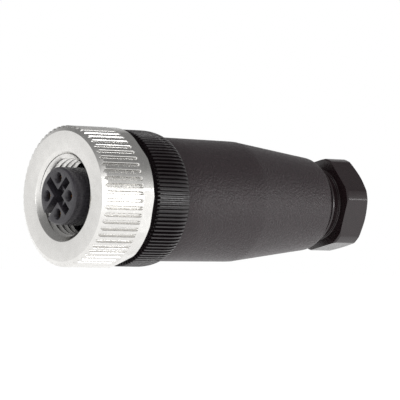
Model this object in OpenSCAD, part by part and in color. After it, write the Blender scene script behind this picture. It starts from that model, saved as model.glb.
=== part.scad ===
// Straight female M12 cable connector, four poles, screw terminals.
// X runs along the connector, from the mating face of the insert at X = 0 to the cable end.
// The insert's poles lie on -Y, +Z, +Y and -Z, and its keyway lies between +Y and -Z.

/* [Coupling nut] */
// Outer diameter over the knurl
nut_d = 20; // [19.5:0.1:22]
// Length of the nut
nut_len = 8.8; // [8.6:0.1:9.6]
// Distance from the insert's face back to the nut's front face
insert_proud = 0.86; // [0.4:0.02:1]
// Minor diameter of the M12 x 1 internal thread
thread_minor_d = 10.92; // [10.85:0.01:11.1]
// Diameter of the countersink at the mouth
mouth_d = 12.94; // [12.4:0.02:13.6]
// Number of knurl ridges
nut_ridges = 60; // [40:1:72]
// Depth of the knurl grooves
nut_groove_depth = 0.35; // [0.2:0.05:0.45]
// Width of a knurl groove
nut_groove_w = 0.42; // [0.3:0.02:0.5]
// Length of the smooth band at the rear
nut_band = 2.05; // [1.2:0.05:3]
// Distance across the six flats of the band
nut_flats = 19; // [18.6:0.1:19.4]
// Axial length of the chamfer at the front edge
nut_chamfer_len = 0.45; // [0.2:0.05:0.6]
// Radial depth of the chamfer at the front edge
nut_chamfer_depth = 0.75; // [0.3:0.05:0.9]
// Chamfer at the rear edge
nut_rear_chamfer = 0.28; // [0.1:0.02:0.4]

/* [Insert] */
// Diameter of the mating barrel
barrel_d = 8.2; // [8:0.05:8.3]
// Chamfer at the barrel's front edge
barrel_chamfer = 0.22; // [0.1:0.02:0.3]
// Radial depth of the front seal's seat at the barrel's root
seal_seat_depth = 0.25; // [0.2:0.05:0.35]
// Length of the barrel, from the mating face to the flange
barrel_len = 7; // [6.6:0.1:7.3]
// Diameter of the flange that the nut pulls on
flange_d = 13.9; // [13.5:0.1:14.2]
// Thickness of the flange
flange_t = 0.9; // [0.7:0.05:1]
// Diameter of the neck behind the flange
neck_d = 12.1; // [11.8:0.05:12.4]
// Diameter of the pitch circle of the contacts
pole_circle_d = 5.1; // [5:0.05:5.4]
// Diameter of the holes in the mating face
face_hole_d = 1.15; // [1.1:0.01:1.4]
// Diameter of the lead-in of a hole
lead_in_d = 1.65; // [1.5:0.05:1.8]
// Depth of the lead-in of a hole
lead_in_depth = 0.5; // [0.2:0.05:0.6]
// Width of the cross-shaped recess between the holes
cross_w = 1.25; // [0.9:0.05:1.35]
// Depth of the cross-shaped recess
cross_depth = 2; // [1:0.1:3]
// Distance from the axis to the end of an arm of the recess
cross_reach = 3.25; // [2.8:0.05:3.5]
// Distance from the axis to the webs across the two arms on the -Y side
cross_web_r = 1.3; // [1.1:0.05:1.8]
// Thickness of those webs
cross_web_t = 0.3; // [0.2:0.05:0.5]
// Depth of those webs below the mating face
cross_web_drop = 0.4; // [0.2:0.05:1]
// Width of the keyway
keyway_w = 1.3; // [1:0.05:1.5]
// Length of the keyway
keyway_len = 5.6; // [4:0.1:5.7]
// Distance from the axis to the floor of the keyway
keyway_floor = 3.3; // [3.1:0.05:3.5]
// Thickness of the seal at the foot of the barrel
seal_d = 1.1; // [0.8:0.05:1.2]
// Thickness of the friction ring behind the flange
friction_ring_t = 0.42; // [0.3:0.02:0.5]
// Width of the split in the friction ring
friction_ring_split = 0.8; // [0.4:0.1:2]

/* [Contacts] */
// Diameter of the bore that takes a pin
pin_bore_d = 1.12; // [1.05:0.01:1.13]
// Depth of the bore that takes a pin
pin_bore_depth = 5.5; // [4:0.1:7]
// Outer diameter of the socket
socket_d = 1.7; // [1.5:0.05:1.75]
// Distance from the mating face to the socket
socket_inset = 0.95; // [0.6:0.05:1.2]
// Width of the slots that make the socket springy
socket_slot_w = 0.22; // [0.15:0.01:0.25]
// Length of the slots
socket_slot_len = 4; // [2:0.1:5]
// Diameter of the retaining collar on a contact
collar_d = 2.1; // [1.9:0.05:2.2]
// Length of the retaining collar
collar_len = 2; // [1:0.1:3]
// Distance from the mating face to the retaining collar
collar_x = 9; // [8:0.1:10]
// Width of the cube-shaped terminal
terminal_w = 3; // [2.8:0.05:3.2]
// Distance from the collar's spigot to the terminals
terminal_gap = 0.6; // [0.4:0.1:1]
// Length of the terminal
terminal_len = 4.4; // [4:0.1:5]
// Distance from the axis to the middle of a terminal
terminal_r = 3.5; // [3.4:0.05:3.7]
// Thickness of the terminal's inner and side walls
terminal_wall = 0.55; // [0.4:0.05:0.6]
// Thickness of the terminal's outer wall, which is tapped for the screw
tapped_wall = 0.7; // [0.6:0.05:0.9]
// Thickness of the pressure plate
plate_t = 0.35; // [0.25:0.05:0.5]
// Diameter of the terminal screw's thread
screw_d = 1.6; // [1.4:0.1:1.8]
// Diameter of the terminal screw's head
screw_head_d = 2.4; // [2.2:0.1:2.6]
// Height of the terminal screw's head
screw_head_h = 0.7; // [0.6:0.05:0.8]
// Width of the screwdriver slot
driver_slot_w = 0.36; // [0.3:0.02:0.5]

/* [Terminal block] */
// Diameter of the terminal block
block_d = 12.6; // [12.4:0.1:12.8]
// Length of the block behind the terminals' front faces
block_tail = 5.2; // [5.1:0.1:6]

/* [Collar ring] */
// Radial step from the nut's outer diameter down to the collar's
collar_step = 0.22; // [0:0.02:0.4]
// Length of the knurled collar
ring_len = 6.42; // [5.5:0.02:7.5]
// Length of the full-diameter part of the collar
ring_full_len = 4; // [3:0.1:5]
// Radial depth of the bevel at the collar's rear
ring_bevel = 0.72; // [0.5:0.02:0.8]
// Gap between the nut and the collar
nut_gap = 0.4; // [0.2:0.05:0.8]
// Number of knurl ridges
ring_ridges = 102; // [70:1:120]
// Depth of the knurl grooves
ring_groove_depth = 0.55; // [0.3:0.05:0.7]
// Width of a knurl groove
ring_groove_w = 0.3; // [0.2:0.02:0.34]
// Chamfer at the collar's front edge
ring_chamfer = 0.25; // [0.1:0.05:0.5]
// Thickness of the web that holds the insert's neck
web_t = 3; // [2:0.1:4]
// Diameter of the threaded spigot behind the collar
spigot_d = 14.8; // [14.6:0.05:14.9]
// Length of the spigot
spigot_len = 6; // [5:0.1:7]

/* [Housing] */
// Length of the housing
housing_len = 29.63; // [29:0.01:34]
// Length of the nearly straight front part
housing_straight_len = 14.4; // [13:0.1:16]
// Radial step from the collar's rear edge down to the housing
housing_step = 0.12; // [0.05:0.01:0.2]
// Radial draft of the nearly straight front part
housing_draft = 0.16; // [0:0.02:0.3]
// Angle of the taper
taper_angle = 7.8; // [6:0.1:8.2]
// Radius of the rounding at the rear edge
housing_round = 1.25; // [0.8:0.05:1.4]
// Length of the straight cavity behind the thread
cavity_len = 8; // [7:0.1:9]
// Length of the cavity's conical end
cavity_cone_len = 3.6; // [2.8:0.1:3.8]
// Diameter at the end of the cavity's cone
cavity_end_d = 8.4; // [7.6:0.1:9]
// Diameter of the cable passage into the gland
passage_d = 6.6; // [6.4:0.1:6.8]
// Depth of the gland bore
gland_bore_depth = 11.4; // [11:0.1:12]
// Thickness of the seal between the collar and the housing
housing_seal_d = 0.8; // [0.6:0.05:0.85]

/* [Cable gland] */
// Diameter of the gland nut's threaded shank
shank_d = 9.9; // [9.6:0.05:10]
// Bore of the gland nut, for the cable
cable_bore_d = 6.4; // [6.2:0.1:6.6]
// Length of the shank inside the housing
shank_len = 5; // [3:0.1:5.2]
// Diameter of the bead that seats on the housing
bead_d = 11.7; // [11:0.1:12]
// Thickness of the bead
bead_t = 0.42; // [0.3:0.02:0.6]
// Chamfer at the shank's nose
nose_chamfer = 0.3; // [0.1:0.05:0.5]
// Length over which the bead runs down into the neck
neck_fillet = 0.6; // [0.3:0.1:0.9]
// Diameter of the neck behind the bead
gland_neck_d = 10.3; // [10:0.1:10.6]
// Rounding of the bead's edges
bead_round = 0.1; // [0.05:0.01:0.14]
// Length of the neck and bead together
gland_neck_len = 2; // [1.4:0.1:3]
// Distance across the flats of the gland nut
gland_flats = 12.75; // [12.4:0.05:13.2]
// Diameter over the rounded corners of the gland nut
gland_corner_d = 13.96; // [13.6:0.02:14.2]
// Length of the gland nut's hexagon
gland_hex_len = 4.55; // [4:0.05:6]
// Chamfer at the front of the hexagon's corners
hex_chamfer = 0.2; // [0.1:0.05:0.3]
// Diameter of the gland nut's flat rear face
gland_face_d = 11.6; // [11:0.1:12]
// Diameter of the flare where the cable enters
flare_d = 8.2; // [7.6:0.1:9]
// Depth of the flare
flare_depth = 1; // [0.6:0.1:1.6]
// Bore of the rubber grommet
grommet_bore_d = 5.2; // [4:0.1:6]
// Radial gap round the cage
cage_gap = 0.2; // [0.1:0.05:0.4]
// Thickness of the cage's fingers
cage_wall = 1; // [0.8:0.05:1.2]
// Inner lip that holds the grommet in the cage
cage_lip = 0.5; // [0.3:0.1:0.8]
// Thickness of the cage's base ring
cage_base_t = 1; // [0.6:0.1:1.4]
// Number of slots in the cage
cage_slots = 8; // [6:1:12]
// Width of a slot in the cage
cage_slot_w = 0.7; // [0.4:0.05:1]
// Thickness of the slip washer
washer_t = 0.55; // [0.4:0.05:0.6]
// Radial step from the gland nut's shank and bore to the slip washer's
washer_step = 0.1; // [0.05:0.05:0.2]

/* [Fits] */
// Radial clearance of a running fit
run_fit = 0.08; // [0.04:0.01:0.1]
// Radial clearance where the nut turns round the flange
flange_fit = 0.1; // [0.05:0.01:0.15]
// Axial play of the nut in front of the flange
nut_play = 0.15; // [0.1:0.01:0.2]
// Gap between pieces that are pressed or laid together
seat_gap = 0.02; // [0.01:0.005:0.03]
// Gap round a contact in its pocket
pocket_gap = 0.05; // [0.02:0.01:0.08]

/* [Orientation] */
// Angle of the keyway round the axis, from -Y towards +Z
keyway_angle = 225; // [225:90:315]
// Angle of the nut's flats round the axis
nut_flat_angle = 48; // [0:1:59]
// Angle of the gland nut's corners round the axis
gland_corner_angle = 12; // [0:1:59]

/* [Hidden] */
$fn = 96;
POLES = 4;
over = 0.5;
round_steps = 8;

// Places along the axis, from the mating face to the cable end
nut_x = insert_proud;
nut_rear_x = nut_x + nut_len;
flange_rear_x = barrel_len + flange_t;
seal_seat_r = barrel_d / 2 - seal_seat_depth;
seal_seat_x = barrel_len - seal_d - 2 * pocket_gap;
lip_x = flange_rear_x + friction_ring_t + 2 * seat_gap;
ring_x = nut_rear_x + nut_gap;
ring_rear_x = ring_x + ring_len;
neck_end_x = ring_x + web_t;
block_x = neck_end_x + seat_gap;
spigot_end_x = ring_rear_x + spigot_len;
ring_d = nut_d - 2 * collar_step;
ring_rear_d = ring_d - 2 * ring_bevel;
housing_front_d = ring_rear_d - 2 * housing_step;
housing_mid_d = housing_front_d - 2 * housing_draft;
cage_d = shank_d + 2 * run_fit - 2 * cage_gap;
cage_bore_d = cage_d - 2 * cage_wall;
grommet_d = cage_bore_d - 2 * pocket_gap;
terminal_x = spigot_end_x + terminal_gap;
screw_x = terminal_x + terminal_wall + (terminal_len - terminal_wall) / 2;
block_end_x = terminal_x + block_tail;
housing_x = ring_rear_x + seat_gap;
housing_end_x = housing_x + housing_len;
gland_bore_x = housing_end_x - gland_bore_depth;
bead_x = housing_end_x + seat_gap;
nose_x = bead_x - shank_len;
hex_x = bead_x + gland_neck_len;
gland_end_x = hex_x + gland_hex_len;
washer_x = nose_x - seat_gap - washer_t;
cage_x = gland_bore_x + seat_gap;
grommet_x = cage_x + cage_base_t + seat_gap;
grommet_end_x = washer_x - seat_gap;

// Places out from the axis, at a terminal
terminal_floor_r = terminal_r - terminal_w / 2 + terminal_wall;
terminal_top_r = terminal_r + terminal_w / 2;
plate_r = terminal_floor_r + pocket_gap;
screw_tip_r = plate_r + plate_t + seat_gap;
screw_seat_r = terminal_top_r + 2 * pocket_gap;

// Turns a shape that was drawn along Z so that it lies along X
module on_axis() {
    rotate([0, 90, 0]) children();
}

// Turns round the axis to an angle counted from -Y towards +Z; local X then points outward
module at_angle(angle) {
    on_axis() rotate([0, 0, -90 - angle]) children();
}

// Turns to the place of one pole
module at_pole(pole) {
    at_angle((pole - 1) * 360 / POLES) children();
}

// Plain tube along the axis
module tube(x, length, outer_d, inner_d) {
    translate([0, 0, x]) difference() {
        cylinder(h = length, d = outer_d);
        translate([0, 0, -over]) cylinder(h = length + 2 * over, d = inner_d);
    }
}

// Points of an arc, as axial place and radius
function arc_points(centre, radius, from_angle, to_angle) = [
    for (i = [0 : round_steps])
        let (a = from_angle + (to_angle - from_angle) * i / round_steps)
        [centre[0] + radius * cos(a), centre[1] + radius * sin(a)]
];

// Solid of revolution about the axis, from points given as [axial place, radius]
module revolved(points) {
    rotate_extrude() polygon([for (p = points) [p[1], p[0]]]);
}

// Star-shaped prism whose notches are the grooves of a straight knurl
module knurl_prism(outer_d, depth, count, groove_w, x, length) {
    crest = outer_d / 2 + over;
    floor_r = outer_d / 2 - depth;
    step = 360 / count;
    mouth = asin(groove_w / outer_d);
    bed = mouth * 0.6;
    translate([0, 0, x]) linear_extrude(height = length) polygon([
        for (i = [0 : count - 1])
            for (p = [[crest, -step / 2], [crest, -mouth * 1.2], [floor_r, -bed], [floor_r, bed],
                [crest, mouth * 1.2]])
                [p[0] * cos(i * step + p[1]), p[0] * sin(i * step + p[1])]
    ]);
}

module nut_outline() {
    revolved([
        [nut_x, 0],
        [nut_x, nut_d / 2 - nut_chamfer_depth],
        [nut_x + nut_chamfer_len, nut_d / 2],
        [nut_rear_x - nut_rear_chamfer, nut_d / 2],
        [nut_rear_x, nut_d / 2 - nut_rear_chamfer],
        [nut_rear_x, 0]
    ]);
}

module coupling_nut() {
    countersink = (mouth_d - thread_minor_d) / 2;
    chamber_x = barrel_len - nut_play;
    band_x = nut_rear_x - nut_band;
    color("gainsboro") on_axis() difference() {
        intersection() {
            nut_outline();
            union() {
                rotate([0, 0, 180 / nut_ridges])
                    knurl_prism(nut_d, nut_groove_depth, nut_ridges, nut_groove_w,
                        nut_x - over, band_x - nut_x + over);
                rotate([0, 0, -90 - nut_flat_angle - 30]) translate([0, 0, band_x])
                    cylinder(h = nut_band + over, d = nut_flats / cos(30), $fn = 6);
            }
        }
        revolved([
            [nut_x - over, 0],
            [nut_x - over, mouth_d / 2 + over],
            [nut_x + countersink, thread_minor_d / 2],
            [chamber_x, thread_minor_d / 2],
            [chamber_x, flange_d / 2 + flange_fit],
            [lip_x, flange_d / 2 + flange_fit],
            [lip_x, neck_d / 2 + run_fit],
            [nut_rear_x + over, neck_d / 2 + run_fit],
            [nut_rear_x + over, 0]
        ]);
    }
}

module nut_friction_ring() {
    color("ivory") at_angle(keyway_angle) difference() {
        tube(flange_rear_x + seat_gap, friction_ring_t, flange_d, neck_d + 2 * run_fit);
        translate([0, -friction_ring_split / 2, flange_rear_x]) cube([flange_d, friction_ring_split, flange_t]);
    }
}

module front_seal() {
    color("dimgray") on_axis() translate([0, 0, barrel_len - seal_d / 2 - seat_gap])
        rotate_extrude() translate([seal_seat_r + seal_d / 2 + seat_gap, 0]) circle(d = seal_d, $fn = 32);
}

// Hole for one contact through the insert, with its lead-in and the seat of its collar
module contact_hole() {
    translate([pole_circle_d / 2, 0, 0]) {
        translate([0, 0, -over]) cylinder(h = neck_end_x + 2 * over, d = face_hole_d);
        translate([0, 0, -seat_gap])
            cylinder(h = lead_in_depth + seat_gap, d1 = lead_in_d, d2 = face_hole_d);
        translate([0, 0, socket_inset - pocket_gap])
            cylinder(h = neck_end_x, d = socket_d + 2 * pocket_gap);
        translate([0, 0, collar_x - pocket_gap]) cylinder(h = neck_end_x, d = collar_d + 2 * pocket_gap);
    }
}

// One arm of the cross-shaped recess, running outward from the axis
module cross_arm(reach) {
    translate([0, -cross_w / 2, -over]) cube([reach, cross_w, cross_depth + over]);
}

// Web that crosses an arm of the recess
module cross_web() {
    translate([cross_web_r - cross_web_t / 2, -cross_w / 2 - pocket_gap, cross_web_drop])
        cube([cross_web_t, cross_w + 2 * pocket_gap, cross_depth]);
}

module contact_carrier() {
    color([0.2, 0.19, 0.21]) union() {
        insert_body();
        for (angle = [45, -45]) at_angle(angle) cross_web();
    }
}

module insert_body() {
    difference() {
        on_axis() revolved([
            [0, 0],
            [0, barrel_d / 2 - barrel_chamfer],
            [barrel_chamfer, barrel_d / 2],
            [seal_seat_x, barrel_d / 2],
            [seal_seat_x, seal_seat_r],
            [barrel_len, seal_seat_r],
            [barrel_len, flange_d / 2],
            [flange_rear_x, flange_d / 2],
            [flange_rear_x, neck_d / 2],
            [neck_end_x, neck_d / 2],
            [neck_end_x, 0]
        ]);
        for (pole = [1 : POLES]) at_pole(pole) contact_hole();
        for (arm = [1 : POLES - 1]) at_angle(keyway_angle + arm * 360 / POLES) cross_arm(cross_reach);
        at_angle(keyway_angle) {
            cross_arm(barrel_d);
            translate([keyway_floor, -keyway_w / 2, -over])
                cube([barrel_d, keyway_w, keyway_len + over]);
        }
    }
}

// Pocket in the terminal block for one contact, its terminal and its screw
module block_pocket() {
    pocket_w = terminal_w + 2 * pocket_gap;
    translate([pole_circle_d / 2, 0, block_x - over])
        cylinder(h = block_end_x - block_x, d = collar_d + 2 * pocket_gap);
    translate([terminal_r - pocket_w / 2, -pocket_w / 2, terminal_x - pocket_gap])
        cube([pocket_w, pocket_w, block_tail + over]);
    translate([terminal_r, 0, screw_x]) rotate([0, 90, 0])
        cylinder(h = block_d, d = screw_head_d + 4 * pocket_gap, $fn = 32);
}

module terminal_block() {
    color([0.24, 0.24, 0.25]) difference() {
        on_axis() translate([0, 0, block_x]) cylinder(h = block_end_x - block_x, d = block_d);
        for (pole = [1 : POLES]) at_pole(pole) block_pocket();
    }
}

module socket_contact(pole) {
    window_w = terminal_w - 2 * terminal_wall;
    color("goldenrod") at_pole(pole) difference() {
        union() {
            translate([pole_circle_d / 2, 0, 0]) {
                translate([0, 0, socket_inset])
                    cylinder(h = terminal_x + terminal_wall - socket_inset, d = socket_d, $fn = 32);
                translate([0, 0, collar_x]) cylinder(h = collar_len, d = collar_d, $fn = 32);
            }
            translate([terminal_r - terminal_w / 2, -terminal_w / 2, terminal_x])
                cube([terminal_w, terminal_w, terminal_len]);
        }
        translate([pole_circle_d / 2, 0, socket_inset - over]) {
            cylinder(h = pin_bore_depth + over, d = pin_bore_d, $fn = 32);
            translate([-socket_slot_w / 2, -socket_d, 0])
                cube([socket_slot_w, 2 * socket_d, socket_slot_len + over]);
        }
        translate([terminal_floor_r, -window_w / 2, terminal_x + terminal_wall])
            cube([terminal_w - terminal_wall - tapped_wall, window_w, terminal_len]);
        translate([terminal_r, 0, screw_x]) rotate([0, 90, 0])
            cylinder(h = terminal_w, d = screw_d + 2 * run_fit, $fn = 32);
    }
}

module wire_plate(pole) {
    plate_w = terminal_w - 2 * terminal_wall - 2 * pocket_gap;
    plate_len = terminal_len - terminal_wall - 4 * pocket_gap;
    color("silver") at_pole(pole) translate([plate_r, -plate_w / 2, screw_x - plate_len / 2])
        cube([plate_t, plate_w, plate_len]);
}

module terminal_screw(pole) {
    color("silver") at_pole(pole) translate([0, 0, screw_x]) rotate([0, 90, 0]) difference() {
        union() {
            translate([0, 0, screw_tip_r]) cylinder(h = screw_seat_r - screw_tip_r + screw_head_h / 4, d = screw_d, $fn = 32);
            translate([0, 0, screw_seat_r]) cylinder(h = screw_head_h, d = screw_head_d, $fn = 32);
        }
        translate([-screw_head_d, -driver_slot_w / 2, screw_seat_r + screw_head_h * 0.4])
            cube([2 * screw_head_d, driver_slot_w, screw_head_h]);
    }
}

module ring_outline() {
    full_x = ring_x + ring_full_len;
    bevel = ring_rear_x - full_x;
    drop = (ring_d - ring_rear_d) / 2;
    revolved(concat(
        [[ring_x, 0], [ring_x, ring_d / 2 - ring_chamfer], [ring_x + ring_chamfer, ring_d / 2]],
        [for (i = [0 : round_steps])
            [full_x + bevel * sin(90 * i / round_steps), ring_d / 2 - drop * (1 - cos(90 * i / round_steps))]],
        [[ring_rear_x, 0]]
    ));
}

module carrier_ring() {
    color([0.09, 0.08, 0.09]) on_axis() difference() {
        union() {
            intersection() {
                ring_outline();
                knurl_prism(ring_d, ring_groove_depth, ring_ridges, ring_groove_w, ring_x - over, ring_len + 2 * over);
            }
            translate([0, 0, ring_x + ring_chamfer])
                cylinder(h = spigot_end_x - ring_x - ring_chamfer, d = spigot_d);
        }
        translate([0, 0, ring_x - over]) cylinder(h = ring_len, d = neck_d + 2 * seat_gap);
        translate([0, 0, neck_end_x]) cylinder(h = spigot_end_x, d = block_d + 2 * pocket_gap);
    }
}

module housing_seal() {
    color("dimgray") on_axis() translate([0, 0, housing_x + housing_seal_d / 2])
        rotate_extrude() translate([spigot_d / 2 + housing_seal_d / 2 + seat_gap, 0])
            circle(d = housing_seal_d, $fn = 32);
}

module housing() {
    straight_end_x = housing_x + housing_straight_len;
    round_x = housing_end_x - housing_round;
    round_r = housing_mid_d / 2 - tan(taper_angle) * (round_x - straight_end_x) - housing_round;
    thread_d = spigot_d + 2 * run_fit;
    seal_recess = housing_seal_d + 4 * seat_gap;
    cone_x = housing_x + spigot_len + cavity_len;
    gland_d = shank_d + 2 * run_fit;
    color([0.25, 0.23, 0.24]) on_axis() difference() {
        revolved(concat(
            [[housing_x, 0], [housing_x, housing_front_d / 2], [straight_end_x, housing_mid_d / 2]],
            arc_points([round_x, round_r], housing_round, 90, 0),
            [[housing_end_x, 0]]
        ));
        revolved([
            [housing_x - over, 0],
            [housing_x - over, spigot_d / 2 + seal_recess],
            [housing_x + seal_recess, spigot_d / 2 + seal_recess],
            [housing_x + seal_recess, thread_d / 2],
            [cone_x, thread_d / 2],
            [cone_x + cavity_cone_len, cavity_end_d / 2],
            [cone_x + cavity_cone_len, passage_d / 2],
            [gland_bore_x, passage_d / 2],
            [gland_bore_x, gland_d / 2],
            [housing_end_x + over, gland_d / 2],
            [housing_end_x + over, 0]
        ]);
    }
}

module gland_seal() {
    color("dimgray") on_axis() tube(grommet_x, grommet_end_x - grommet_x, grommet_d, grommet_bore_d);
}

module clamp_cage() {
    length = grommet_end_x - cage_x;
    color([0.85, 0.83, 0.78]) on_axis() difference() {
        tube(cage_x, length, cage_d, cage_bore_d - 2 * cage_lip);
        translate([0, 0, cage_x + cage_base_t]) cylinder(h = length, d = cage_bore_d);
        for (i = [0 : cage_slots - 1]) rotate([0, 0, i * 360 / cage_slots])
            translate([0, -cage_slot_w / 2, cage_x + cage_base_t]) cube([cage_d, cage_slot_w, length]);
    }
}

module thrust_washer() {
    color("gainsboro") on_axis() tube(washer_x, washer_t, shank_d - 2 * washer_step, cable_bore_d - 2 * washer_step);
}

module gland_nut() {
    face_drop = (gland_corner_d - gland_face_d) / 2 * tan(30);
    color([0.17, 0.15, 0.16]) on_axis() difference() {
        union() {
            revolved([
                [nose_x, 0],
                [nose_x, shank_d / 2 - nose_chamfer],
                [nose_x + nose_chamfer, shank_d / 2],
                [bead_x, shank_d / 2],
                [bead_x, bead_d / 2 - bead_round],
                [bead_x + bead_round, bead_d / 2],
                [bead_x + bead_t - bead_round, bead_d / 2],
                [bead_x + bead_t, bead_d / 2 - bead_round],
                [bead_x + bead_t + neck_fillet / 2, gland_neck_d / 2 + neck_fillet / 6],
                [bead_x + bead_t + neck_fillet, gland_neck_d / 2],
                [hex_x + over, gland_neck_d / 2],
                [hex_x + over, 0]
            ]);
            intersection() {
                rotate([0, 0, -90 - gland_corner_angle]) translate([0, 0, hex_x])
                    cylinder(h = gland_hex_len, d = gland_flats / cos(30), $fn = 6);
                revolved([
                    [hex_x, 0],
                    [hex_x, gland_corner_d / 2 - hex_chamfer],
                    [hex_x + hex_chamfer, gland_corner_d / 2],
                    [gland_end_x - face_drop, gland_corner_d / 2],
                    [gland_end_x, gland_face_d / 2],
                    [gland_end_x, 0]
                ]);
            }
        }
        translate([0, 0, nose_x - over]) cylinder(h = gland_end_x, d = cable_bore_d);
        revolved(concat(
            [[gland_end_x + over, 0], [gland_end_x - flare_depth, 0]],
            [for (i = [0 : round_steps])
                [gland_end_x - flare_depth * cos(90 * i / round_steps),
                    cable_bore_d / 2 + (flare_d - cable_bore_d) / 2 * (1 - cos(90 * i / round_steps))]],
            [[gland_end_x + over, flare_d / 2]]
        ));
    }
}

coupling_nut();
nut_friction_ring();
front_seal();
contact_carrier();
terminal_block();
socket_contact(1);  // socket_contact_1
socket_contact(2);  // socket_contact_2
socket_contact(3);  // socket_contact_3
socket_contact(4);  // socket_contact_4
wire_plate(1);  // wire_plate_1
wire_plate(2);  // wire_plate_2
wire_plate(3);  // wire_plate_3
wire_plate(4);  // wire_plate_4
terminal_screw(1);  // terminal_screw_1
terminal_screw(2);  // terminal_screw_2
terminal_screw(3);  // terminal_screw_3
terminal_screw(4);  // terminal_screw_4
carrier_ring();
housing_seal();
housing();
gland_seal();
clamp_cage();
thrust_washer();
gland_nut();
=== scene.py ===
import bpy
import bmesh
import math
from mathutils import Matrix, Vector


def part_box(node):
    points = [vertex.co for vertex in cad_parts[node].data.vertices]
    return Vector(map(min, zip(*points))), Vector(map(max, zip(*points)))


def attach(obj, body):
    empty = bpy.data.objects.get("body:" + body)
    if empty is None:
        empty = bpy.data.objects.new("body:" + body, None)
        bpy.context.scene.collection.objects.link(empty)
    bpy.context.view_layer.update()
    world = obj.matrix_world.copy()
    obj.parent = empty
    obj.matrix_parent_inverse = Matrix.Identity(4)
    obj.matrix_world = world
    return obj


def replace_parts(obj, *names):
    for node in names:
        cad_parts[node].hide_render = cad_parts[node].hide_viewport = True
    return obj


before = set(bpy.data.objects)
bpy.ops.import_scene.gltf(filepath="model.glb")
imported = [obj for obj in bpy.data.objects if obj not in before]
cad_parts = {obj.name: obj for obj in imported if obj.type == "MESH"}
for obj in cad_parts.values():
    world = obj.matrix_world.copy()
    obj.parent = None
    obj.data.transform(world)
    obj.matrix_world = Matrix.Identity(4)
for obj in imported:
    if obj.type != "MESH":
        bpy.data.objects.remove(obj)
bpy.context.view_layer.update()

# --- Camera -----------------------------------------------------------------
# Long lens, a little below the connector's axis, looking past the mating face
# towards the cable end. Right and up are taken from the connector's own axis.
MM = 0.001
yaw = math.radians(38.875)
dip = math.radians(1.49)
along = Vector((math.cos(dip) * math.cos(yaw), math.sin(dip), math.cos(dip) * math.sin(yaw)))
upward = Vector((0, -1, 0)) - along * along.dot(Vector((0, -1, 0)))
upward.normalize()
sideways = upward.cross(along)
to_frame = Matrix((along, sideways, upward))
face_seen_at = Vector((-20.019, -0.579, 524.841)) * MM

camera_data = bpy.data.cameras.new("camera")
camera_data.sensor_width = 36
camera_data.lens = 335.55
camera_data.clip_start, camera_data.clip_end = 0.05, 20
camera = bpy.data.objects.new("camera", camera_data)
bpy.context.scene.collection.objects.link(camera)
aimed = Matrix([to_frame @ Vector(v) for v in ((1, 0, 0), (0, -1, 0), (0, 0, -1))]).transposed()
camera.matrix_world = Matrix.Translation(-(to_frame @ face_seen_at)) @ aimed.to_4x4()
bpy.context.scene.camera = camera
bpy.context.scene.view_settings.view_transform = "Standard"

# --- Studio -----------------------------------------------------------------
# White seamless surroundings: what the lens, gloss and glass see is plain
# white at and below eye level and greyer overhead, as in a tent with a grey
# top. Soft lamps above, in front and low on the right shape the object.
SURROUND_LIGHT = 0.55
TENT_TOP = 0.26
TENT_FADE = (0.12, 0.62)
FLOOR_Z = -0.036
FLOOR_REACH = 6
FLOOR_WHITE = 0.82
FLOOR_GLOW = 0.75
AIM = Vector((0.022, 0, 0))
# Name: place, width and power
LAMPS = {
    "lamp_above": ((-0.02, -0.16, 0.42), 0.30, 0.22),
    "lamp_front": ((-0.42, -0.06, 0.04), 0.16, 0.14),
    "lamp_low": ((0.28, -0.30, -0.020), 0.14, 0.36),
}

world = bpy.data.worlds.new("studio")
bpy.context.scene.world = world
world.use_nodes = True
nodes, links = world.node_tree.nodes, world.node_tree.links
nodes.clear()
seen, lit = nodes.new("ShaderNodeBackground"), nodes.new("ShaderNodeBackground")
seen.inputs["Strength"].default_value = 1
lit.inputs["Strength"].default_value = SURROUND_LIGHT
lit.inputs["Color"].default_value = (1, 1, 1, 1)
way_up = nodes.new("ShaderNodeSeparateXYZ")
links.new(nodes.new("ShaderNodeTexCoord").outputs["Generated"], way_up.inputs[0])
tent = nodes.new("ShaderNodeValToRGB")
for stop, position, tone in zip(tent.color_ramp.elements, TENT_FADE, (1, TENT_TOP)):
    stop.position = position
    stop.color = (tone, tone, tone, 1)
links.new(way_up.outputs["Z"], tent.inputs["Fac"])
links.new(tent.outputs["Color"], seen.inputs["Color"])


def seen_directly(nodes, links):
    """1 for rays of the lens, of gloss and of glass, 0 for those that only light things."""
    path = nodes.new("ShaderNodeLightPath")
    total = path.outputs["Is Camera Ray"]
    for kind in ("Is Glossy Ray", "Is Transmission Ray"):
        larger = nodes.new("ShaderNodeMath")
        larger.operation = "MAXIMUM"
        links.new(total, larger.inputs[0])
        links.new(path.outputs[kind], larger.inputs[1])
        total = larger.outputs[0]
    return total


choose = nodes.new("ShaderNodeMixShader")
links.new(seen_directly(nodes, links), choose.inputs[0])
links.new(lit.outputs[0], choose.inputs[1])
links.new(seen.outputs[0], choose.inputs[2])
links.new(choose.outputs[0], nodes.new("ShaderNodeOutputWorld").inputs["Surface"])

for name, (place, size, power) in LAMPS.items():
    lamp = bpy.data.lights.new(name, "AREA")
    lamp.shape, lamp.size, lamp.energy = "DISK", size, power
    holder = bpy.data.objects.new(name, lamp)
    holder.location = place
    holder.rotation_euler = (AIM - Vector(place)).to_track_quat("-Z", "Y").to_euler()
    bpy.context.scene.collection.objects.link(holder)

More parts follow.
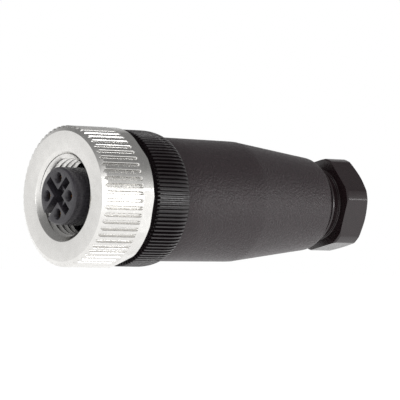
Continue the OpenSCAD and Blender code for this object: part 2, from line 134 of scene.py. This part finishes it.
floor_mesh = bpy.data.meshes.new("floor")
corners = ((-1, -1), (1, -1), (1, 1), (-1, 1))
floor_mesh.from_pydata([(x * FLOOR_REACH, y * FLOOR_REACH, FLOOR_Z) for x, y in corners], [], [(0, 1, 2, 3)])
floor = bpy.data.objects.new("floor", floor_mesh)
bpy.context.scene.collection.objects.link(floor)
paper = bpy.data.materials.new("white paper")
paper.use_nodes = True
nodes, links = paper.node_tree.nodes, paper.node_tree.links
nodes.clear()
matt, glow, both = (nodes.new("ShaderNode" + kind) for kind in ("BsdfDiffuse", "Emission", "AddShader"))
matt.inputs["Color"].default_value = (FLOOR_WHITE, FLOOR_WHITE, FLOOR_WHITE, 1)
lift = nodes.new("ShaderNodeMath")
lift.operation = "MULTIPLY"
lift.inputs[1].default_value = FLOOR_GLOW
links.new(seen_directly(nodes, links), lift.inputs[0])
links.new(lift.outputs[0], glow.inputs["Strength"])
links.new(matt.outputs[0], both.inputs[0])
links.new(glow.outputs[0], both.inputs[1])
links.new(both.outputs[0], nodes.new("ShaderNodeOutputMaterial").inputs["Surface"])
floor_mesh.materials.append(paper)

# --- Coupling nut -----------------------------------------------------------
# Loose nut that screws onto the mating plug. Turned from brass bar and nickel
# plated: 60 broad knurl ridges, a plain band with six spanner flats behind
# them, and an M12 x 1 thread cut inside.
NUT_R = 10.0
NUT_CHAMFER_LEN, NUT_CHAMFER_DEPTH = 0.45, 0.75
NUT_REAR_CHAMFER = 0.28
NUT_RIDGES = 60
NUT_GROOVE_DEPTH = 0.35
NUT_BAND = 2.05
NUT_FLAT = 9.5
NUT_FLAT_ANGLE = 48
THREAD_ROOT_R, THREAD_TIP_R = 6.02, 5.46
MOUTH_R = 6.47
BARREL_SHOULDER = 6.85
CHAMBER_R, LIP_FRONT, LIP_R = 7.05, 8.36, 6.13
SKIN_CREASE = 32


def ends(node):
    """First and last place of a construction solid along the connector, in mm."""
    low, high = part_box(node)
    return round(low.x / MM, 2), round(high.x / MM, 2)


NUT_FRONT, NUT_REAR = ends("coupling_nut")


def copies_tree():
    """Copies of one object, each turned about X and shifted from the one before, joined into one skin."""
    tree = bpy.data.node_groups.new("copies about the axis", "GeometryNodeTree")
    tree.interface.new_socket("Geometry", in_out="OUTPUT", socket_type="NodeSocketGeometry")
    for label, kind in (("Piece", "Object"), ("Copies", "Int"), ("Turn", "Float"), ("Shift", "Float"),
                        ("Join within", "Float"), ("Finish", "Material")):
        tree.interface.new_socket(label, in_out="INPUT", socket_type="NodeSocket" + kind)
    new, join = tree.nodes.new, tree.links.new
    given = new("NodeGroupInput")
    piece = new("GeometryNodeObjectInfo")
    step = new("ShaderNodeCombineXYZ")
    line = new("GeometryNodeMeshLine")
    index = new("GeometryNodeInputIndex")
    angle = new("ShaderNodeMath")
    angle.operation = "MULTIPLY"
    about_x = new("ShaderNodeCombineXYZ")
    as_turn = new("FunctionNodeEulerToRotation")
    spread = new("GeometryNodeInstanceOnPoints")
    real = new("GeometryNodeRealizeInstances")
    weld = new("GeometryNodeMergeByDistance")
    coat = new("GeometryNodeSetMaterial")
    result = new("NodeGroupOutput")
    join(given.outputs["Piece"], piece.inputs["Object"])
    join(given.outputs["Shift"], step.inputs["X"])
    join(given.outputs["Copies"], line.inputs["Count"])
    join(step.outputs[0], line.inputs["Offset"])
    join(index.outputs[0], angle.inputs[0])
    join(given.outputs["Turn"], angle.inputs[1])
    join(angle.outputs[0], about_x.inputs["X"])
    join(about_x.outputs[0], as_turn.inputs[0])
    join(line.outputs["Mesh"], spread.inputs["Points"])
    join(piece.outputs["Geometry"], spread.inputs["Instance"])
    join(as_turn.outputs[0], spread.inputs["Rotation"])
    join(spread.outputs[0], real.inputs[0])
    join(real.outputs[0], weld.inputs["Geometry"])
    join(given.outputs["Join within"], weld.inputs["Distance"])
    join(weld.outputs[0], coat.inputs["Geometry"])
    join(given.outputs["Finish"], coat.inputs["Material"])
    join(coat.outputs[0], result.inputs[0])
    return tree


COPIES = copies_tree()


def link_mesh(name, mesh):
    piece = bpy.data.objects.new(name, mesh)
    bpy.context.scene.collection.objects.link(piece)
    return piece


def tidy_skin(piece, crease):
    """Closes and orients the skin, and shades it smooth but for edges sharper than crease."""
    skin = bmesh.new()
    skin.from_mesh(piece.data)
    bmesh.ops.remove_doubles(skin, verts=skin.verts, dist=2e-7)
    bmesh.ops.holes_fill(skin, edges=skin.edges, sides=64)
    bmesh.ops.recalc_face_normals(skin, faces=skin.faces)
    skin.to_mesh(piece.data)
    skin.free()
    piece.data.shade_smooth()
    piece.data.set_sharp_from_angle(angle=math.radians(crease))
    return piece


def copied_round(name, cell, copies, turn, finish, shift=0.0):
    """The cell mesh repeated about the axis by the node tree, as one plain mesh object."""
    source = link_mesh(name + "_cell", cell)
    holder = link_mesh(name + "_copies", bpy.data.meshes.new(name))
    modifier = holder.modifiers.new("copies", "NODES")
    modifier.node_group = COPIES
    given = {"Piece": source, "Copies": copies, "Turn": math.radians(turn), "Shift": shift * MM,
             "Join within": 1e-6, "Finish": finish}
    for socket in COPIES.interface.items_tree:
        if socket.in_out == "INPUT":
            modifier[socket.identifier] = given[socket.name]
    bpy.context.view_layer.update()
    seen_by = bpy.context.evaluated_depsgraph_get()
    made = bpy.data.meshes.new_from_object(holder.evaluated_get(seen_by), depsgraph=seen_by)
    made.name = name
    bpy.data.objects.remove(holder)
    bpy.data.objects.remove(source)
    return link_mesh(name, made)


def cell_mesh(name, angles, section):
    """Skin of one pitch of a turned piece: section(angle) is its closed outline there, as (x, r) in mm."""
    rings = [section(a) for a in angles]
    count = len(rings[0])
    points = []
    for a, ring in zip(angles, rings):
        c, s = math.cos(math.radians(a)), math.sin(math.radians(a))
        points += [(x * MM, -r * c * MM, r * s * MM) for x, r in ring]
    faces = []
    for j in range(len(angles) - 1):
        for i in range(count):
            k = (i + 1) % count
            faces.append((j * count + i, j * count + k, (j + 1) * count + k, (j + 1) * count + i))
    mesh = bpy.data.meshes.new(name)
    mesh.from_pydata(points, [], faces)
    return mesh


def eased(outline, steps=3):
    """Outline of (x, r, rounding) corners, with each corner that has a rounding drawn as a small arc."""
    drawn = []
    for i, (x, r, rounding) in enumerate(outline):
        if not rounding:
            drawn.append((x, r))
            continue
        here = Vector((x, r))
        cuts = []
        for other in (outline[i - 1], outline[(i + 1) % len(outline)]):
            way = Vector(other[:2]) - here
            cuts.append(here + way.normalized() * min(rounding, way.length * 0.48))
        for n in range(steps + 1):
            t = n / steps
            drawn.append(tuple(cuts[0] * (1 - t) ** 2 + here * 2 * t * (1 - t) + cuts[1] * t * t))
    return drawn


def rising(value):
    """Smooth step from 0 to 1."""
    v = min(max(value, 0.0), 1.0)
    return v * v * (3 - 2 * v)


def surface(name, colour, rough, metal=0.0, uneven=0.08, patch=1.2, rough_spread=0.06,
            grain=0.0, grain_size=0.12, scratch=0.0):
    """Procedural finish. patch, grain_size and the depths grain and scratch are in mm on the object."""
    material = bpy.data.materials.new(name)
    material.use_nodes = True
    nodes, links = material.node_tree.nodes, material.node_tree.links
    shader = nodes["Principled BSDF"]
    shader.inputs["Metallic"].default_value = metal
    place = nodes.new("ShaderNodeTexCoord").outputs["Object"]

    def noise(size, detail=3.0):
        texture = nodes.new("ShaderNodeTexNoise")
        texture.inputs["Scale"].default_value = 1 / (size * MM)
        texture.inputs["Detail"].default_value = detail
        links.new(place, texture.inputs["Vector"])
        return texture.outputs["Fac"]

    tint = nodes.new("ShaderNodeValToRGB")
    tint.color_ramp.elements[0].position, tint.color_ramp.elements[1].position = 0.3, 0.7
    for stop, factor in zip(tint.color_ramp.elements, (1 - uneven, 1 + uneven)):
        stop.color = (*[min(c * factor, 1.0) for c in colour], 1)
    links.new(noise(patch), tint.inputs["Fac"])
    links.new(tint.outputs["Color"], shader.inputs["Base Color"])
    spread = nodes.new("ShaderNodeMapRange")
    spread.inputs["From Min"].default_value, spread.inputs["From Max"].default_value = 0.3, 0.7
    spread.inputs["To Min"].default_value = rough - rough_spread
    spread.inputs["To Max"].default_value = rough + rough_spread
    links.new(noise(patch * 0.4, 5.0), spread.inputs["Value"])
    links.new(spread.outputs["Result"], shader.inputs["Roughness"])
    height = None
    if grain:
        height = nodes.new("ShaderNodeBump")
        height.inputs["Strength"].default_value = 1
        height.inputs["Distance"].default_value = grain * MM
        links.new(noise(grain_size, 4.0), height.inputs["Height"])
    if scratch:
        stretch = nodes.new("ShaderNodeMapping")
        stretch.inputs["Scale"].default_value = (1 / (0.03 * MM), 1 / (2 * MM), 1 / (2 * MM))
        marks = nodes.new("ShaderNodeTexNoise")
        marks.inputs["Scale"].default_value = 1
        marks.inputs["Detail"].default_value = 2
        links.new(place, stretch.inputs["Vector"])
        links.new(stretch.outputs["Vector"], marks.inputs["Vector"])
        turned = nodes.new("ShaderNodeBump")
        turned.inputs["Strength"].default_value = 1
        turned.inputs["Distance"].default_value = scratch * MM
        links.new(marks.outputs["Fac"], turned.inputs["Height"])
        if height:
            links.new(height.outputs["Normal"], turned.inputs["Normal"])
        height = turned
    if height:
        links.new(height.outputs["Normal"], shader.inputs["Normal"])
    return material


def nut_crest(x):
    if x < NUT_FRONT + NUT_CHAMFER_LEN:
        return NUT_R - NUT_CHAMFER_DEPTH * (NUT_FRONT + NUT_CHAMFER_LEN - x) / NUT_CHAMFER_LEN
    return min(NUT_R, NUT_R - NUT_REAR_CHAMFER + NUT_REAR - x)


def nut_section(angle):
    """Outline of the nut at this angle from the middle of a ridge."""
    off_groove = (180 / NUT_RIDGES - abs(angle)) * math.pi / 180 * NUT_R
    band = NUT_REAR - NUT_BAND
    run_out = band - 0.30
    stations = [NUT_FRONT + NUT_CHAMFER_LEN * n / 9 for n in range(10)]
    stations += [NUT_FRONT + v for v in (0.6, 1.2, 2.2, 3.4, 4.6, 5.6)]
    stations += [run_out + v for v in (-0.2, 0, 0.06, 0.12, 0.18, 0.24, 0.28)]
    stations += [band, band + 0.02, band + 0.9, NUT_REAR - 0.30, NUT_REAR - 0.24]
    stations += [NUT_REAR - 0.12, NUT_REAR - 0.03]
    outside = []
    for x in stations:
        away = math.hypot(off_groove, max(0.0, x - run_out))
        floor = NUT_R - NUT_GROOVE_DEPTH * rising((0.29 - away) / 0.20)
        outside.append((x, min(nut_crest(x), floor)))
    inside = eased([
        (NUT_REAR, NUT_R - 0.32, 0), (NUT_REAR, LIP_R, 0.06), (LIP_FRONT, LIP_R, 0.05),
        (LIP_FRONT, CHAMBER_R, 0.05), (BARREL_SHOULDER, CHAMBER_R, 0.05),
        (BARREL_SHOULDER, THREAD_ROOT_R, 0.05), (NUT_FRONT + MOUTH_R - THREAD_ROOT_R, THREAD_ROOT_R, 0.03),
        (NUT_FRONT, MOUTH_R, 0.05), (NUT_FRONT, NUT_R - 0.80, 0)], 2)
    return outside + inside


nickel = surface("satin nickel plate", (0.68, 0.67, 0.65), 0.26, metal=1.0, uneven=0.04,
                 grain=0.006, grain_size=0.25, scratch=0.002)


def ridge_angles(ridges, radius, offsets):
    """Angles over one ridge, closer together near its two grooves: offsets in mm from a groove's middle."""
    side = [math.degrees(d / radius) - 180 / ridges for d in offsets]
    return side + [0] + [-a for a in reversed(side)]


nut_angles = ridge_angles(NUT_RIDGES, NUT_R, (0, 0.09, 0.12, 0.16, 0.20, 0.24, 0.29, 0.40))
nut = copied_round("coupling_nut_shell", cell_mesh("nut ridge", nut_angles, nut_section),
                   NUT_RIDGES, 360 / NUT_RIDGES, nickel)


def each_point(piece, move):
    """move(x, r, angle) in mm and degrees gives the new radius in mm of each point of the piece."""
    for v in piece.data.vertices:
        x, y, z = (c / MM for c in v.co)
        r = math.hypot(y, z)
        new = move(x, r, math.degrees(math.atan2(z, -y)))
        v.co = (v.co.x, v.co.y * new / r, v.co.z * new / r)


def with_flats(x, r, angle):
    if x < NUT_REAR - NUT_BAND + 0.01 or r < 8.5:
        return r
    off_flat = (angle - NUT_FLAT_ANGLE + 30) % 60 - 30
    return min(r, NUT_FLAT / math.cos(math.radians(off_flat)))


each_point(nut, with_flats)
tidy_skin(nut, 28)
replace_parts(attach(nut, "coupling_nut"), "coupling_nut")


def thread(name, root, tip, start, end, pitch, finish, limit):
    """Ridge of a right-hand thread from start to end. limit(x, r) trims it to the part's chamfers."""
    sink = 0.03 if root > tip else -0.03
    flank = [(0.09, tip), (0.40, root), (0.44, root + sink)]
    ring = [(-o, r) for o, r in reversed(flank)] + flank
    step = 6
    points = []
    for a in (0, step):
        c, s = math.cos(math.radians(a)), math.sin(math.radians(a))
        lead = pitch * a / 360
        points += [((start + o * pitch + lead) * MM, -r * c * MM, -r * s * MM) for o, r in ring]
    count = len(ring)
    faces = [(i, (i + 1) % count, count + (i + 1) % count, count + i) for i in range(count)]
    mesh = bpy.data.meshes.new(name + " slice")
    mesh.from_pydata(points, [], faces)
    slices = round((end - start) / pitch * 360 / step)
    ridge = copied_round(name, mesh, slices, step, finish, pitch * step / 360)
    each_point(ridge, lambda x, r, angle: limit(x, r))
    return tidy_skin(ridge, 50)


nut_thread = thread("coupling_nut_thread", THREAD_ROOT_R, THREAD_TIP_R, NUT_FRONT + 0.35,
                    BARREL_SHOULDER - 0.4, 1.0, nickel,
                    lambda x, r: max(r, MOUTH_R - (x - NUT_FRONT) - 0.02))
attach(nut_thread, "coupling_nut")

# --- Contact insert ---------------------------------------------------------
# Moulded glass-filled nylon body that holds the four sockets: lead-in cones
# round the pin holes, a cross-shaped core-out with two small webs, and the
# coding keyway down one side. It is pressed into the collar from behind.
insert_nylon = surface("insert nylon", (0.048, 0.044, 0.052), 0.28, uneven=0.15, patch=0.8,
                       grain=0.010, grain_size=0.12)


def smoothed_copy(node, name, finish, bevel):
    """Copy of a construction solid with its triangles welded and its edges broken."""
    copy = link_mesh(name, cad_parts[node].data.copy())
    skin = bmesh.new()
    skin.from_mesh(copy.data)
    bmesh.ops.remove_doubles(skin, verts=skin.verts, dist=2e-6)
    bmesh.ops.dissolve_limit(skin, angle_limit=math.radians(1.5), verts=skin.verts, edges=skin.edges)
    skin.to_mesh(copy.data)
    skin.free()
    if bevel:
        broken = copy.modifiers.new("broken edges", "BEVEL")
        broken.width = bevel * MM
        broken.segments = 2
        broken.limit_method = "ANGLE"
        broken.angle_limit = math.radians(40)
        broken.harden_normals = False
        bpy.context.view_layer.update()
        seen_by = bpy.context.evaluated_depsgraph_get()
        made = bpy.data.meshes.new_from_object(copy.evaluated_get(seen_by), depsgraph=seen_by)
        bpy.data.objects.remove(copy)
        made.name = name
        copy = link_mesh(name, made)
    copy.data.materials.clear()
    copy.data.materials.append(finish)
    copy.data.shade_smooth()
    copy.data.set_sharp_from_angle(angle=math.radians(SKIN_CREASE))
    return copy


insert = smoothed_copy("contact_carrier", "insert_body", insert_nylon, 0.05)
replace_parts(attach(insert, "insert_and_collar"), "contact_carrier")

# --- Contact sockets --------------------------------------------------------
# Four turned brass sockets with sprung, slotted noses and square screw
# terminals, gold plated, pushed into the insert from behind.
gold = surface("gold plate", (0.80, 0.56, 0.20), 0.25, metal=1.0, uneven=0.06, scratch=0.002)
for pole in (1, 2, 3, 4):
    socket = smoothed_copy(f"socket_contact_{pole}", f"socket_{pole}", gold, 0.03)
    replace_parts(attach(socket, "insert_and_collar"), f"socket_contact_{pole}")

# --- Terminal block ---------------------------------------------------------
# Moulded block behind the insert that keeps the screw terminals apart, with an
# open pocket and a screwdriver hole for each.
block = smoothed_copy("terminal_block", "terminal_block_body", insert_nylon, 0.06)
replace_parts(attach(block, "insert_and_collar"), "terminal_block")

# --- Wire plates and terminal screws ----------------------------------------
# In each terminal a slotted screw presses a small loose plate down on the
# wire. Both are steel with bright zinc plate.
zinc = surface("zinc plate", (0.62, 0.63, 0.64), 0.32, metal=1.0, uneven=0.07, scratch=0.002)
for pole in (1, 2, 3, 4):
    for kind, name in (("wire_plate", "clamp_plate"), ("terminal_screw", "slotted_screw")):
        node = f"{kind}_{pole}"
        piece = smoothed_copy(node, f"{name}_{pole}", zinc, 0.03)
        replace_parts(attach(piece, node), node)

# --- Seals, snap ring and cage ----------------------------------------------
# Black nitrile rings seal the plug, the housing and the cable. The split snap
# ring that keeps the nut on, and the fingered cage, are natural nylon.
nitrile = surface("nitrile rubber", (0.016, 0.016, 0.017), 0.55, uneven=0.15, grain=0.004, grain_size=0.06)
natural_nylon = surface("natural nylon", (0.66, 0.62, 0.53), 0.42, uneven=0.04, grain=0.003)
for node, name, finish, slot, body in (
        ("front_seal", "plug_seal", nitrile, "rubber", "insert_and_collar"),
        ("nut_friction_ring", "snap_ring", natural_nylon, "natural_plastic", "insert_and_collar"),
        ("housing_seal", "collar_seal", nitrile, "rubber", "housing_seal"),
        ("gland_seal", "cable_grommet", nitrile, "rubber", "housing"),
        ("clamp_cage", "fingered_cage", natural_nylon, "natural_plastic", "housing"),
        ("thrust_washer", "slip_washer", zinc, "plain_steel", "thrust_washer")):
    piece = smoothed_copy(node, name, finish, 0 if finish is nitrile else 0.03)
    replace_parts(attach(piece, body), node)

# --- Collar -----------------------------------------------------------------
# Black moulded ring pressed on the insert's neck: 102 fine square ridges that
# die out down its rounded rear, and a threaded spigot for the housing.
RING_FRONT, SPIGOT_END = ends("carrier_ring")
RIDGE_FRONT, RING_FULL, RING_REAR = RING_FRONT + 0.62, RING_FRONT + 4.0, RING_FRONT + 6.42
RIDGE_CHAMFER = 0.08
RECESS_R = 8.7
RING_R, RING_REAR_R = 9.78, 9.06
RING_RIDGES = 102
RING_GROOVE_DEPTH = 0.55
SPIGOT_R, SPIGOT_ROOT_R = 7.4, 6.85
NECK_BORE_R, BLOCK_BORE_R, WEB_REAR = 6.07, 6.35, RING_FRONT + 3.0


def ring_crest(x):
    if x < RIDGE_FRONT:
        return RECESS_R
    if x < RIDGE_FRONT + RIDGE_CHAMFER:
        return RING_R - RIDGE_CHAMFER + (x - RIDGE_FRONT)
    if x < RING_FULL:
        return RING_R
    share = min((x - RING_FULL) / (RING_REAR - RING_FULL), 1.0)
    return RING_R - (RING_R - RING_REAR_R) * (1 - math.sqrt(1 - share * share))


def ring_section(angle):
    """Outline of the collar at this angle from the middle of a ridge."""
    off_groove = (180 / RING_RIDGES - abs(angle)) * math.pi / 180 * RING_R
    floor = RING_R - RING_GROOVE_DEPTH * rising((0.19 - off_groove) / 0.10)
    stations = [RING_FRONT, RIDGE_FRONT - 0.001, RIDGE_FRONT, RIDGE_FRONT + RIDGE_CHAMFER / 2]
    stations += [RIDGE_FRONT + RIDGE_CHAMFER, RING_FRONT + 1.54, RING_FRONT + 2.94, RING_FULL]
    stations += [RING_FULL + (RING_REAR - RING_FULL) * math.sin(math.radians(a))
                 for a in (12, 24, 36, 46, 54, 62, 68, 74, 79, 84, 88)]
    outside = [(x, min(ring_crest(x), floor)) for x in stations]
    inside = eased([
        (RING_REAR, RING_REAR_R - 0.10, 0), (RING_REAR, SPIGOT_ROOT_R, 0),
        (SPIGOT_END, SPIGOT_ROOT_R, 0.25), (SPIGOT_END, BLOCK_BORE_R, 0.1),
        (WEB_REAR, BLOCK_BORE_R, 0), (WEB_REAR, NECK_BORE_R, 0),
        (RING_FRONT, NECK_BORE_R, 0.08), (RING_FRONT, RECESS_R - 0.1, 0)], 2)
    return outside + inside


collar_nylon = surface("collar nylon", (0.014, 0.009, 0.011), 0.32, uneven=0.15, patch=0.6,
                       grain=0.004, grain_size=0.08)
ring_angles = ridge_angles(RING_RIDGES, RING_R, (0, 0.08, 0.11, 0.14, 0.17, 0.20))
collar = copied_round("collar", cell_mesh("collar ridge", ring_angles, ring_section),
                      RING_RIDGES, 360 / RING_RIDGES, collar_nylon)
tidy_skin(collar, 30)
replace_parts(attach(collar, "insert_and_collar"), "carrier_ring")
spigot_thread = thread("collar_thread", SPIGOT_ROOT_R, SPIGOT_R, RING_REAR + 1.4, SPIGOT_END - 0.3, 1.0,
                       collar_nylon, lambda x, r: min(r, SPIGOT_R - max(0.0, x - SPIGOT_END + 0.6)))
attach(spigot_thread, "insert_and_collar")

# --- Housing ----------------------------------------------------------------
# Tapered black nylon grip with a fine spark-eroded skin. It screws onto the
# collar's spigot, and its rear is bored and threaded for the cable gland.
HOUSING_FRONT, seat = ends("housing")
HOUSING_STRAIGHT, HOUSING_REAR = HOUSING_FRONT + 14.4, seat - 0.43
HOUSING_FRONT_R, HOUSING_MID_R = 8.94, 8.78
TAPER = math.tan(math.radians(7.8))
HOUSING_ROUND = 1.25
HOUSING_THREAD_R, HOUSING_THREAD_ROOT_R = 7.48, 8.0
GLAND_BORE_X, GLAND_BORE_R, GLAND_ROOT_R = seat - 11.4, 5.03, 5.55
CONE_FRONT, CONE_REAR = HOUSING_FRONT + 14.0, HOUSING_FRONT + 17.6
CONE_END_R, PASSAGE_R = 4.2, 3.3
THREAD_FRONT, THREAD_RELIEF = HOUSING_FRONT + 0.9, HOUSING_FRONT + 7.7
SEAL_SEAT_R = 8.28

housing_nylon = surface("housing nylon", (0.022, 0.012, 0.015), 0.44, uneven=0.25, patch=0.5,
                        rough_spread=0.10, grain=0.12, grain_size=0.30)
round_x = HOUSING_REAR - HOUSING_ROUND
round_r = HOUSING_MID_R - TAPER * (round_x - HOUSING_STRAIGHT) - HOUSING_ROUND
housing_outline = [(HOUSING_FRONT, HOUSING_FRONT_R - 0.14), (HOUSING_FRONT + 0.04, HOUSING_FRONT_R - 0.04),
                   (HOUSING_FRONT + 0.14, HOUSING_FRONT_R)]
for share in (0.25, 0.5, 0.75, 0.95):
    housing_outline.append((HOUSING_FRONT + share * (HOUSING_STRAIGHT - HOUSING_FRONT),
                            HOUSING_FRONT_R + share * (HOUSING_MID_R - HOUSING_FRONT_R)))
housing_outline += [(HOUSING_STRAIGHT + 0.25, HOUSING_MID_R - 0.022),
                    (HOUSING_STRAIGHT + 0.8, HOUSING_MID_R - TAPER * 0.8)]
for share in (0.3, 0.6, 0.85):
    x = HOUSING_STRAIGHT + share * (round_x - HOUSING_STRAIGHT)
    housing_outline.append((x, HOUSING_MID_R - TAPER * (x - HOUSING_STRAIGHT)))
for a in range(82, -1, -9):
    bend = math.radians(a)
    housing_outline.append((round_x + HOUSING_ROUND * math.cos(bend),
                            round_r + HOUSING_ROUND * math.sin(bend)))
housing_outline += eased([
    (HOUSING_REAR, round_r - 0.05, 0), (HOUSING_REAR, GLAND_ROOT_R, 0.08),
    (GLAND_BORE_X + 4.5, GLAND_ROOT_R, 0), (GLAND_BORE_X + 4.2, GLAND_BORE_R, 0),
    (GLAND_BORE_X, GLAND_BORE_R, 0), (GLAND_BORE_X, PASSAGE_R, 0.1),
    (CONE_REAR, PASSAGE_R, 0.1), (CONE_REAR, CONE_END_R, 0.1), (CONE_FRONT, HOUSING_THREAD_R, 0.1),
    (THREAD_RELIEF + 0.3, HOUSING_THREAD_R, 0), (THREAD_RELIEF, HOUSING_THREAD_ROOT_R, 0),
    (THREAD_FRONT, HOUSING_THREAD_ROOT_R, 0), (THREAD_FRONT - 0.02, SEAL_SEAT_R, 0),
    (HOUSING_FRONT, SEAL_SEAT_R, 0.06)], 3)
HOUSING_CELLS = 144
half_cell = 180 / HOUSING_CELLS
housing = copied_round("grip_housing",
                       cell_mesh("housing cell", (-half_cell, half_cell), lambda angle: housing_outline),
                       HOUSING_CELLS, 2 * half_cell, housing_nylon)
tidy_skin(housing, 30)
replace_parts(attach(housing, "housing"), "housing")
housing_thread = thread("housing_thread", HOUSING_THREAD_ROOT_R, HOUSING_THREAD_R, THREAD_FRONT + 0.5,
                        THREAD_RELIEF - 0.4, 1.0, housing_nylon, lambda x, r: r)
rear_thread = thread("housing_rear_thread", GLAND_ROOT_R, GLAND_BORE_R, GLAND_BORE_X + 5.0,
                     HOUSING_REAR - 0.7, 1.25, housing_nylon, lambda x, r: r)
for piece in (housing_thread, rear_thread):
    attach(piece, "housing")

# --- Gland nut --------------------------------------------------------------
# Black moulded pressure nut that squeezes the cage and grommet on the cable:
# threaded shank inside the housing, a thin bead, a waisted neck, a hexagon with
# rounded corners, and a flared mouth for the cable.
NOSE, GLAND_REAR = ends("gland_nut")
BEAD, HEX_FRONT = NOSE + 5.0, NOSE + 7.0
SHANK_R, SHANK_ROOT_R, BEAD_R, WAIST_R = 4.95, 4.45, 5.85, 5.15
HEX_FLAT, HEX_CORNER_R, HEX_FACE_R = 6.375, 6.98, 5.80
CORNER_ANGLE = 12
CABLE_R, FLARE_R, FLARE_DEPTH = 3.2, 4.1, 1.0

gland_nylon = surface("gland nylon", (0.019, 0.010, 0.012), 0.28, uneven=0.15, patch=1.0,
                      grain=0.010, grain_size=0.20)


def blended(a, b, width):
    """The smaller of a and b, with the meeting rounded over width."""
    h = max(width - abs(a - b), 0.0) / width
    return min(a, b) - h * h * width / 4


def hexagon_r(x, angle):
    off_corner = abs((angle - CORNER_ANGLE + 30) % 60 - 30)
    r = blended(HEX_FLAT / math.cos(math.radians(30 - off_corner)), HEX_CORNER_R, 0.05)
    r = blended(r, HEX_CORNER_R - 0.20 + (x - HEX_FRONT), 0.04)
    return blended(r, HEX_FACE_R + (GLAND_REAR - x) * math.sqrt(3), 0.05)


def gland_section(angle):
    """Outline of the gland nut at this angle."""
    before = eased([
        (NOSE, CABLE_R, 0.1), (NOSE, SHANK_ROOT_R, 0.2), (BEAD - 0.5, SHANK_ROOT_R, 0),
        (BEAD - 0.45, SHANK_R, 0), (BEAD, SHANK_R, 0), (BEAD, BEAD_R, 0.10), (BEAD + 0.42, BEAD_R, 0.12),
        (BEAD + 0.60, WAIST_R + 0.15, 0.1), (BEAD + 1.00, WAIST_R, 0.2), (HEX_FRONT - 0.30, WAIST_R, 0.1),
        (HEX_FRONT - 0.24, WAIST_R + 0.22, 0.08), (HEX_FRONT, WAIST_R + 0.24, 0.05)], 3)
    stations = [HEX_FRONT + v for v in (0.0, 0.04, 0.09, 0.15, 0.22, 0.30, 1.3, 2.4, 3.4)]
    stations += [GLAND_REAR - v for v in (0.80, 0.70, 0.62, 0.54, 0.46, 0.39, 0.33, 0.27, 0.21, 0.15)]
    stations += [GLAND_REAR - v for v in (0.09, 0.04, 0.0)]
    outside = [(x, hexagon_r(x, angle)) for x in stations]
    flare = [(GLAND_REAR, FLARE_R + 0.04)]
    for a in (5, 20, 35, 50, 65, 80, 90):
        depth = math.sin(math.radians(a))
        flare.append((GLAND_REAR - depth * FLARE_DEPTH, CABLE_R + (FLARE_R - CABLE_R) * (1 - depth)))
    return before + outside + flare


spans = [0, 1.5, 3, 4.2, 5.2, 6, 6.8, 8, 10, 13, 17, 22, 26]
angles = [CORNER_ANGLE + a for a in [-30] + [-s for s in reversed(spans[1:])] + spans + [30]]
gland = copied_round("gland_pressure_nut", cell_mesh("gland sixth", angles, gland_section),
                     6, 60, gland_nylon)
tidy_skin(gland, 26)
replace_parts(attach(gland, "gland_nut"), "gland_nut")
gland_thread = thread("gland_nut_thread", SHANK_ROOT_R, SHANK_R, NOSE + 0.5, BEAD - 0.7, 1.25, gland_nylon,
                      lambda x, r: min(r, SHANK_R - 0.5 + (x - NOSE)))
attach(gland_thread, "gland_nut")
